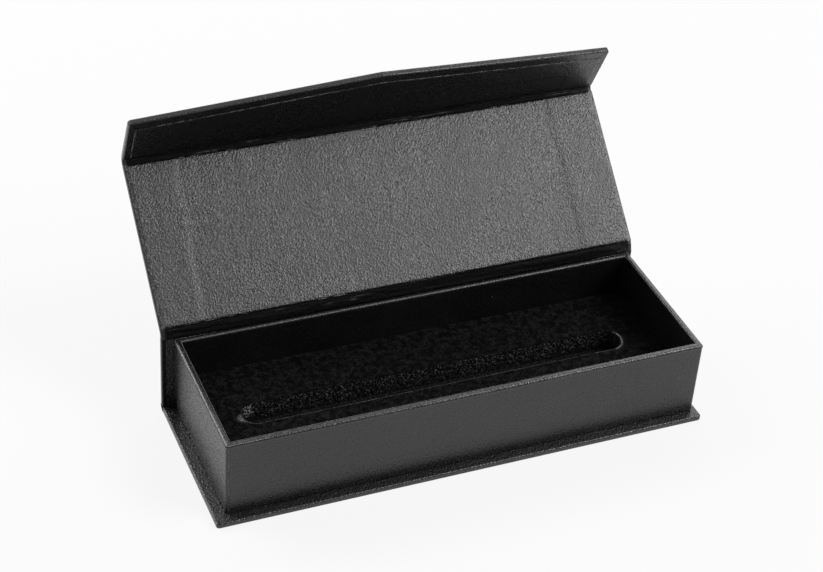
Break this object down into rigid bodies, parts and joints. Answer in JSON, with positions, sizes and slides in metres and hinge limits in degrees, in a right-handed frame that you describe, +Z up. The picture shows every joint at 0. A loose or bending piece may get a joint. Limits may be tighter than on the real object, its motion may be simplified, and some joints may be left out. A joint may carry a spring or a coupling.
{
  "type": "pen gift box",
  "caption": "Book-style rigid gift box for one pen: hinged lid, folding magnetic flap with a pointed edge, and a lift-out velvet insert with a long slot.",
  "frame": {"origin": "centre of the base panel's underside, on the surface it rests on", "axes": "+X along the box's length to the right, +Y from the front to the spine, +Z up"},
  "size_m": [0.181, 0.111, 0.1033],
  "materials": {
    "leatherette": "fine pebble grain, satin",
    "lining": "fine pebble grain, satin",
    "greyboard": "matt",
    "paper_tape": "matt",
    "steel": "plain",
    "magnet": "nickel plated",
    "sponge": "open-cell sponge",
    "velvet": "short flocked pile"
  },
  "bodies": {
    "base": {"base_board": "greyboard", "base_wrap": "leatherette", "spine_board": "greyboard", "spine_wrap": "leatherette", "spine_lining": "lining", "tray_floor": "greyboard", "tray_front": "greyboard", "tray_back": "greyboard", "tray_left": "greyboard", "tray_right": "greyboard", "tray_corner_tapes": "paper_tape", "tray_wrap": "leatherette", "keeper_plates": "steel", "lid_fold_cover": "leatherette", "lid_fold_lining": "lining"},
    "lid": {"lid_board": "greyboard", "lid_wrap": "leatherette", "lid_lining": "lining", "flap_fold_cover": "leatherette", "flap_fold_lining": "lining"},
    "flap": {"flap_board": "greyboard", "flap_wrap": "leatherette", "flap_lining": "lining", "flap_magnets": "magnet"},
    "insert": {"insert_base": "sponge", "insert_top": "sponge", "insert_velvet": "velvet"}
  },
  "joints": [
    {"name": "lid_hinge", "type": "hinge", "parent": "base", "child": "lid", "pos_m": [0, 0.03198, 0.0336], "axis": [-1, 0, 0], "range_deg": [-138, 42], "deforming": ["lid_fold_cover", "lid_fold_lining"]},
    {"name": "flap_hinge", "type": "hinge", "parent": "lid", "child": "flap", "pos_m": [0, 0.07805, 0.07549], "axis": [-1, 0, 0], "range_deg": [-16, 74], "deforming": ["flap_fold_cover", "flap_fold_lining"]},
    {"name": "insert_lift", "type": "slide", "parent": "base", "child": "insert", "axis": [0, 0, 1], "range_m": [0, 0.045]}
  ]
}
